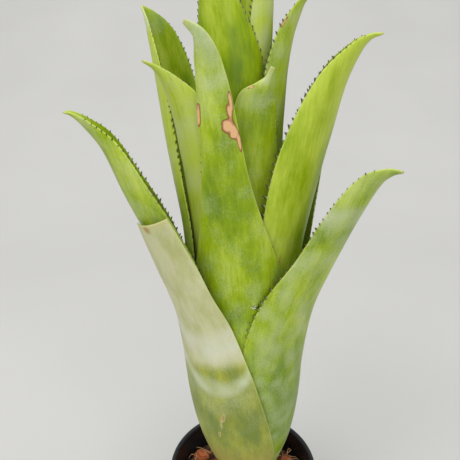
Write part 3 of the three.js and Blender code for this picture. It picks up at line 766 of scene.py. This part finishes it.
def leaf_sheet(leaf, form):
    """Outer and inner points of a leaf, and what its skin needs to know at each of them."""
    rows = 1 - (1 - np.linspace(0, 1, LEAF_ROWS + 1)) ** 1.2
    even = np.linspace(-1, 1, LEAF_COLUMNS + 1)
    across = np.broadcast_to(0.75 * (1.5 * even - 0.5 * even ** 3) + 0.25 * even, (len(rows), len(even)))
    start = leaf.get("foot_slant", 0) * (1 + across) / 2
    end = form.length - leaf.get("cut_slant", 0) * (1 - across) / 2
    at = start + rows[:, None] * (end - start)
    middle, normal = form.read(at, across)
    width = form.half_width(at)
    free = smooth_step(at, form.throat, form.throat + 40) * smooth_step(form.length - at, 4, 30)
    seed = leaf["azimuth"] * 0.37
    # The whole sheet buckles a little, and the margins of the free blade wave.
    buckle = 0.22 * scale_noise(middle, 22, seed)
    wave = 0.9 * free * np.abs(across) ** 3 * scale_noise(middle, 26, seed + 9)
    middle = middle + (buckle + wave)[..., None] * normal
    # It thins towards its margins and its tip.
    half = MARGIN_THICK / 2 * 0.7 + (LEAF_THICK - MARGIN_THICK * 0.7) / 2 * (1 - np.abs(across) ** 5)
    half = np.minimum(half, 0.12 + 0.3 * width)[..., None]
    points = np.concatenate([(middle + half * normal).reshape(-1, 3),
                             (middle - half * normal).reshape(-1, 3)])
    height = middle[..., 2]
    edge = width * (1 - np.abs(across))
    # Scale bands drift up and down, bend down towards the margins and break into patches.
    bend = 14 if "cut_slant" in leaf else 4
    drift = 5 * scale_noise(middle, 24, seed + 3) - bend * across ** 2
    patchy = np.clip(0.5 + 0.9 * scale_noise(middle, 8, seed + 4), 0, 1)
    scales = leaf["dust"] * (0.4 + 2.0 * patchy)
    for centre, spread, strength in leaf["bands"]:
        near = np.exp(-((height + drift - centre) / spread) ** 2)
        scales = np.maximum(scales, strength * near * (0.55 + 0.45 * patchy))
    # Darker green towards the throat and in some bands: partly the leaf's own deeper green,
    # partly painted shade where the leaves overlap and close into the tube.
    deeper_and_shaded = 0.22 * smooth_step(-height, -leaf["throat"] - 70, -leaf["throat"])
    for centre, spread, strength in leaf["deep_and_shaded"]:
        deeper_and_shaded = deeper_and_shaded + strength * np.exp(-((height + drift - centre) / spread) ** 2)
    # Scars that touch run together, with uneven outlines.
    joined = np.full_like(height, 1e-9)
    for centre, place, tall, wide in leaf["scars"]:
        joined = joined + np.exp(-4 * np.hypot((height - centre) / tall, (across - place) * width / wide))
    scar = 1.6 + np.log(joined) / 4 - 0.5 * scale_noise(middle, 2.6, seed + 5)
    arc = across * width
    bleach = 0.9 * smooth_step(height - FADE_TILT * arc, *FADE_HEIGHTS)
    outer = {"tone_and_shade": leaf["tone_and_shade"][0] + deeper_and_shaded, "edge": edge, "scales": scales, "scar": scar,
             "tip": end - at, "arc": arc, "along": at, "faded": bleach * ("cut_slant" in leaf)}
    # The inner face has its own tone, mostly darker: partly its greener colour, partly painted shade in the
    # channel.
    inner = {**outer, "tone_and_shade": leaf["tone_and_shade"][1] + deeper_and_shaded, "scales": scales * 0.35, "scar": 0 * scar}
    fields = {name: np.concatenate([side[name].reshape(-1) for side in (outer, inner)]) for name in outer}
    return points, fields


def leaf_teeth(leaf, form, draw):
    """Points, faces and horn values of the curved teeth along both margins and the tip."""
    points, faces, horn = [], [], []

    def spike(root, axis, along, normal, length, broad, thick, curl, ripe):
        first = len(points)
        for ring in range(TOOTH_RINGS):
            share = ring / TOOTH_RINGS
            centre = root + axis * (length * share - TOOTH_SUNK) + along * (curl * share * share)
            slim = (1 - share) ** 0.85
            for a, b in ((1, 0), (0, 1), (-1, 0), (0, -1)):
                points.append(centre + along * (a * broad * slim) + normal * (b * thick * slim))
                horn.append(share * ripe)
        points.append(root + axis * (length - TOOTH_SUNK) + along * curl)
        horn.append(ripe)
        for ring in range(TOOTH_RINGS - 1):
            for side in range(4):
                a, b = first + ring * 4 + side, first + ring * 4 + (side + 1) % 4
                faces.append((a, b, b + 4, a + 4))
        top = first + TOOTH_RINGS * 4
        for side in range(4):
            faces.append((top - 4 + side, top - 4 + (side + 1) % 4, top))
        faces.append((first + 3, first + 2, first + 1, first))

    for side in (-1.0, 1.0):
        at = form.throat - TEETH_BELOW_THROAT + draw.uniform(0, 2)
        while at < form.length - TOOTHLESS_TIP:
            spots = np.array([at - 0.6, at, at + 0.6, at])
            shares = np.array([side, side, side, side * 0.94])
            edge, normals = form.read(spots, shares)
            along = unit(edge[2] - edge[0])
            axis = unit(unit(edge[1] - edge[3]) + along * draw.uniform(0.25, 0.75))
            fade = float(smooth_step(form.length - at, 2, 70))
            grown = float(smooth_step(at, form.throat - TEETH_BELOW_THROAT, form.throat + 25))
            size = leaf["teeth"] * (0.5 + 0.5 * fade) * (0.45 + 0.55 * grown) * draw.uniform(0.7, 1.15)
            ripe = 0.25 + 0.75 * float(smooth_step(at, form.throat + 20, form.throat + 60))
            spike(edge[1], axis, along, normals[1], TOOTH_LENGTH * size, 1.1 * size + 0.2, 0.34,
                  0.7 * size * draw.uniform(0.2, 1.0), ripe)
            at += TOOTH_PITCH * (0.6 + 0.4 * fade) * draw.uniform(0.8, 1.25)
    end = form.midrib(np.array([form.length - 1.5, form.length]))
    ahead = unit(end[1] - end[0])
    spots, normals = form.read(np.array([form.length]), np.array([0.0]))
    level = unit(np.cross(ahead, normals[0]))
    spike(spots[0] - ahead * 0.4, ahead, level, normals[0], 1.3, 0.8, 0.45, 0.0, 0.4)
    return points, faces, horn


def leaf_skin(name, tones, scar_tones, sheen):
    """The skin of a leaf: its greens, veins, scales, margin, tip, foot and scars."""
    material, tree = bare_material(name)
    field = {key: add(tree, "ShaderNodeAttribute", attribute_name=key).outputs["Fac"]
             for key in ("tone_and_shade", "edge", "scales", "scar", "tip", "arc", "along", "faded")}
    where = add(tree, "ShaderNodeTexCoord").outputs["Object"]
    # Three patterns follow the way the leaf grew: soft clouds 11 mm wide and 30 mm long, fine
    # streaks 1.2 mm wide and 8 mm long, and veins 1 mm apart that wander slowly over 50 mm.
    place = add(tree, "ShaderNodeCombineXYZ", links={"X": field["arc"], "Y": field["along"]})
    patterns = []
    for wide, tall, detail, fine in ((11, 30, 5.0, 0.6), (1.25, 25 / 3, 4.0, 0.65), (1, 50, 3.0, 0.6)):
        drawn_out = add(tree, "ShaderNodeMapping", {"Scale": (1 / wide, 1 / tall, 1.0)},
                        {"Vector": place.outputs[0]})
        pattern = add(tree, "ShaderNodeTexNoise", {"Scale": 1.0, "Detail": detail, "Roughness": fine},
                      {"Vector": drawn_out.outputs[0]})
        patterns.append(pattern.outputs["Fac"])
    clouds, streaks, veins = patterns
    # Clouds and streaks move the leaf's tone, which holds painted shade as well as its own green,
    # along its greens, from young to deep.
    shade = field["tone_and_shade"]
    for pattern, reach in ((clouds, 0.4), (streaks, 0.14)):
        shift = add(tree, "ShaderNodeMapRange",
                    {"From Min": 0.3, "From Max": 0.7, "To Min": -reach, "To Max": reach}, {"Value": pattern})
        shade = add(tree, "ShaderNodeMath", links={0: shade, 1: shift.outputs["Result"]},
                    operation="ADD").outputs[0]
    green = add(tree, "ShaderNodeValToRGB", links={"Fac": shade})
    green.color_ramp.elements[0].color = linear(tones[0])
    green.color_ramp.elements[1].color = linear(tones[2])
    green.color_ramp.elements.new(0.5).color = linear(tones[1])
    veined = add(tree, "ShaderNodeMapRange", {"From Min": 0.35, "From Max": 0.75, "To Max": 0.3},
                 {"Value": veins})
    striped = add(tree, "ShaderNodeMix", {7: linear(tones[3])},
                  {0: veined.outputs["Result"], 6: green.outputs[0]}, data_type="RGBA")
    # Silvery scales are 0.2 mm discs; they are drawn 0.9 mm across so that they show. Where
    # there are few of them they are separate flecks, and in a band they run together.
    scaly = add(tree, "ShaderNodeTexNoise", {"Scale": 1000 / SCALE_MM, "Detail": 3.0, "Roughness": 0.7},
                {"Vector": where})
    crowd = add(tree, "ShaderNodeMath", {1: 0.75}, {0: scaly.outputs["Fac"], 2: field["scales"]},
                operation="MULTIPLY_ADD")
    silver = add(tree, "ShaderNodeMapRange", {"From Min": 0.5, "From Max": 1.3, "To Max": 0.9},
                 {"Value": crowd.outputs[0]})
    dusted = add(tree, "ShaderNodeMix", {7: linear("#bcc3a0")},
                 {0: silver.outputs["Result"], 6: striped.outputs[2]}, data_type="RGBA")
    # Where a leaf is bleached the clouds stay, as two straws, and its scales are chalky.
    straw = add(tree, "ShaderNodeMapRange", {"From Min": 0.42, "From Max": 0.62}, {"Value": clouds})
    bleached = add(tree, "ShaderNodeMix", {6: linear("#c0c098"), 7: linear("#afb078")},
                   {0: straw.outputs["Result"]}, data_type="RGBA")
    chalked = add(tree, "ShaderNodeMix", {7: linear("#c6c7b2")},
                  {0: silver.outputs["Result"], 6: bleached.outputs[2]}, data_type="RGBA")
    skin = add(tree, "ShaderNodeMix", data_type="RGBA",
               links={0: field["faded"], 6: dusted.outputs[2], 7: chalked.outputs[2]}).outputs[2]
    # Over that lie, in turn, a pale horny margin under 1 mm wide, a tip dried to tan in its last
    # few millimetres, a straw-brown foot where the sheath clasps the stem, and healed scars,
    # which have a thin rim of one colour round another.
    for key, near, far, first, last, colour in (
            ("edge", 0.2, 0.9, 0.34, 0.0, "#c3cc74"), ("tip", 0.3, 3.0, 0.6, 0.0, "#bdb578"),
            ("along", 8.0, 34.0, 0.8, 0.0, "#a89458"), ("scar", 0.4, 0.6, 0.0, 1.0, scar_tones[0]),
            ("scar", 0.6, 0.95, 0.0, 1.0, scar_tones[1])):
        cover = add(tree, "ShaderNodeMapRange",
                    {"From Min": near, "From Max": far, "To Min": first, "To Max": last},
                    {"Value": field[key]})
        skin = add(tree, "ShaderNodeMix", {7: linear(colour)}, {0: cover.outputs["Result"], 6: skin},
                   data_type="RGBA").outputs[2]
    gloss = add(tree, "ShaderNodeMapRange", {"To Min": sheen, "To Max": 0.72},
                {"Value": silver.outputs["Result"]})
    relief = add(tree, "ShaderNodeMath", links={0: veins, 1: silver.outputs["Result"]}, operation="ADD")
    raised = add(tree, "ShaderNodeBump", {"Strength": 0.35, "Distance": 0.00025},
                 {"Height": relief.outputs[0]})
    shell = add(tree, "ShaderNodeBsdfPrincipled",
                {"IOR": 1.45, "Specular IOR Level": 0.25, "Subsurface Weight": 0.3,
                 "Subsurface Radius": (0.6, 1.0, 0.15), "Subsurface Scale": 0.002},
                {"Base Color": skin, "Roughness": gloss.outputs["Result"], "Normal": raised.outputs[0]})
    add(tree, "ShaderNodeOutputMaterial", links={"Surface": shell.outputs[0]})
    return material


# Living leaf: leathery, waxy and satin, so that it keeps a soft highlight on its curve.
living_leaf = leaf_skin("waxy_living_leaf", ("#b6c544", "#8fa60c", "#66820e", "#75900a"),
                        ("#7d4420", "#d8ac7e"), 0.38)
# Trimmed leaf: a yellowed green at its foot, bleached to straw above, and a little duller.
faded_leaf = leaf_skin("bleached_trimmed_leaf", ("#b6ba4a", "#989d3a", "#6f7f38", "#8c923a"),
                       ("#b4a96e", "#a28a54"), 0.45)

# Horn: the teeth and tip spines go from the leaf's green at the root to a dark brown point.
horn_material, tree = bare_material("horny_leaf_tooth")
share = add(tree, "ShaderNodeAttribute", attribute_name="horn")
horn_tint = add(tree, "ShaderNodeMapRange", {"From Min": 0.05, "From Max": 0.6},
                {"Value": share.outputs["Fac"]})
horn_skin = add(tree, "ShaderNodeMix", {6: linear("#7d9420"), 7: linear("#33270d")},
                {0: horn_tint.outputs["Result"]}, data_type="RGBA")
shell = add(tree, "ShaderNodeBsdfPrincipled", {"Roughness": 0.4, "IOR": 1.54},
            {"Base Color": horn_skin.outputs[2]})
add(tree, "ShaderNodeOutputMaterial", links={"Surface": shell.outputs[0]})

for number, leaf in enumerate(LEAVES):
    form = LeafForm(leaf)
    trimmed = "cut_slant" in leaf
    leaf_points, fields = leaf_sheet(leaf, form)
    leaf_faces = closed_sheet(LEAF_ROWS, LEAF_COLUMNS)
    if trimmed:
        teeth_points, teeth_faces, horn = [], [], []
    else:
        teeth_points, teeth_faces, horn = leaf_teeth(leaf, form, random.Random(number))
    base = len(leaf_points)
    blade = piece(f"{leaf['name']}_blade", [*leaf_points, *teeth_points],
                  leaf_faces + [tuple(base + k for k in face) for face in teeth_faces],
                  [faded_leaf if trimmed else living_leaf, horn_material],
                  [0] * len(leaf_faces) + [1] * len(teeth_faces))
    fields["horn"] = np.zeros(base)
    for name, values in fields.items():
        more = horn if name == "horn" else [0.0] * len(teeth_points)
        blade.data.attributes.new(name, "FLOAT", "POINT").data.foreach_set("value", [*values, *more])
    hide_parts(leaf["name"])

# ---- water drops -----------------------------------------------------------------
# Drops left from watering on the front leaf, one large and four small along its margin.
# Clear water, held to the waxy skin by its own tension, so each sits as a shallow dome.
DROP_SIDES = 28
DROP_RINGS = 10
DROP_SUNK = 0.2
DROP_SAG = 0.3
DROP_LEAN = 0.12
DROP_RISE = 0.42

# Each drop: its height, its place across the front leaf and its radius.
DROPS = ((233, 0.3, 2.3), (224, 0.27, 0.9), (219, 0.22, 0.8), (215, 0.19, 1.0), (211, 0.14, 0.8))

# Water: clear, with a sharp highlight and a bright edge where it bends the light.
water, tree = bare_material("clear_water")
RIPPLES_ACROSS_DROP = 500.0
ripple = add(tree, "ShaderNodeTexNoise", {"Scale": RIPPLES_ACROSS_DROP})
calm = add(tree, "ShaderNodeBump", {"Strength": 0.02, "Distance": 0.0001},
           {"Height": ripple.outputs["Fac"]})
shell = add(tree, "ShaderNodeBsdfPrincipled",
            {"Base Color": linear("#fbfdf8"), "Roughness": 0.02, "IOR": 1.333, "Transmission Weight": 1.0},
            {"Normal": calm.outputs[0]})
add(tree, "ShaderNodeOutputMaterial", links={"Surface": shell.outputs[0]})

form = LeafForm(next(leaf for leaf in LEAVES if leaf["name"] == "leaf_front"))
reach = np.linspace(0, form.length, 400)
for number, (height, across, size) in enumerate(DROPS):
    at = float(np.interp(height, form.midrib(reach)[:, 2], reach))
    spots, normals = form.read(np.array([at]), np.array([across]))
    out = Vector(normals[0])
    seat = Vector(spots[0]) + out * (LEAF_THICK / 2 - DROP_SUNK)
    down = (Vector((0, 0, -1)) - out * -out.z).normalized()
    level = out.cross(down)
    drop_points = []
    for ring in range(DROP_RINGS):
        polar = math.pi / 2 * ring / (DROP_RINGS - 1)
        rise = (out * (DROP_SUNK + size * DROP_RISE) + down * size * DROP_LEAN) * math.sin(polar)
        for side in range(DROP_SIDES):
            turn = 2 * math.pi * side / DROP_SIDES
            sag = 1 + DROP_SAG * math.cos(turn) * math.cos(polar)
            round_it = down * math.cos(turn) + level * math.sin(turn)
            drop_points.append(seat + size * sag * math.cos(polar) ** 0.8 * round_it + rise)
    drop_faces = ring_faces(DROP_RINGS, DROP_SIDES)
    drop_faces.append(tuple(range(DROP_SIDES)))
    drop_faces.append(tuple(reversed(range((DROP_RINGS - 1) * DROP_SIDES, DROP_RINGS * DROP_SIDES))))
    piece(f"water_drop_{number + 1}", drop_points, drop_faces, [water])

# ---- studio ----------------------------------------------------------------------
# A pale paper sweep that rises behind the plant, with large soft lamps around it.
SWEEP_WIDTH = 10.0
SWEEP_BACK = 0.5
SWEEP_CURVE = 2.6
SWEEP_TOP = 4.0
SWEEP_FRONT = -4.0
SWEEP_STEPS = 24
ROOM_LIGHT = 0.62

# Each lamp: its name, its place and side in metres, and its power in watts.
LAMPS = (("key", (-1.9, -2.2, 3.2), 2.4, 76), ("fill", (0.9, -2.9, 1.3), 2.4, 33),
         ("top", (0.2, 0.2, 3.6), 2.6, 74))

# Seamless paper: matt and almost even, with a very faint broad mottle.
paper, tree = bare_material("pale_seamless_paper")
MOTTLE_MM = 333
where = add(tree, "ShaderNodeTexCoord")
paper_mottle = add(tree, "ShaderNodeTexNoise", {"Scale": 1000 / MOTTLE_MM, "Detail": 2.0},
                   {"Vector": where.outputs["Object"]})
paper_tint = add(tree, "ShaderNodeMix", {6: linear("#b3b2af"), 7: linear("#bdbcb9")},
                 {0: paper_mottle.outputs["Fac"]}, data_type="RGBA")
shell = add(tree, "ShaderNodeBsdfPrincipled", {"Roughness": 0.9}, {"Base Color": paper_tint.outputs[2]})
add(tree, "ShaderNodeOutputMaterial", links={"Surface": shell.outputs[0]})

sweep_line = [(SWEEP_FRONT, 0.0), (SWEEP_BACK, 0.0)]
for step in range(1, SWEEP_STEPS + 1):
    angle = math.pi / 2 * step / SWEEP_STEPS
    sweep_line.append((SWEEP_BACK + SWEEP_CURVE * math.sin(angle), SWEEP_CURVE * (1 - math.cos(angle))))
sweep_line.append((SWEEP_BACK + SWEEP_CURVE, SWEEP_TOP))
sweep_points = [(x, y, z) for y, z in sweep_line for x in (-SWEEP_WIDTH / 2, SWEEP_WIDTH / 2)]
sweep_faces = [(2 * k, 2 * k + 1, 2 * k + 3, 2 * k + 2) for k in range(len(sweep_line) - 1)]
sweep_mesh = bpy.data.meshes.new("paper_sweep")
sweep_mesh.from_pydata(sweep_points, [], sweep_faces)
sweep_mesh.materials.append(paper)
sweep_mesh.polygons.foreach_set("use_smooth", [True] * len(sweep_mesh.polygons))
sweep = bpy.data.objects.new("paper_sweep", sweep_mesh)
bpy.context.scene.collection.objects.link(sweep)

plant_middle = Vector((cad_low + cad_high) / 2)
for name, place, side, power in LAMPS:
    lamp_data = bpy.data.lights.new(name, "AREA")
    lamp_data.size = side
    lamp_data.energy = power
    lamp = bpy.data.objects.new(name, lamp_data)
    lamp.location = place
    lamp.rotation_mode = "QUATERNION"
    lamp.rotation_quaternion = (plant_middle - Vector(place)).to_track_quat("-Z", "Y")
    bpy.context.scene.collection.objects.link(lamp)

world = bpy.data.worlds.new("soft_room")
world.use_nodes = True
daylight = world.node_tree.nodes["Background"]
daylight.inputs["Color"].default_value = linear("#f4f6f8")
daylight.inputs["Strength"].default_value = ROOM_LIGHT
bpy.context.scene.world = world
bpy.context.scene.view_settings.view_transform = "Standard"

# The camera stands close in front of the plant, just below the height of its top, and
# looks down.
CAMERA_PLACE = (-0.009, -0.26, 0.367)
CAMERA_DOWN = 22
CAMERA_LENS = 39
CAMERA_SENSOR = 36.0
camera_data = bpy.data.cameras.new("camera")
camera_data.lens = CAMERA_LENS
camera_data.sensor_width = CAMERA_SENSOR
camera_data.clip_start = 0.01
camera = bpy.data.objects.new("camera", camera_data)
camera.location = CAMERA_PLACE
camera.rotation_euler = (math.radians(90 - CAMERA_DOWN), 0, 0)
bpy.context.scene.collection.objects.link(camera)
bpy.context.scene.camera = camera
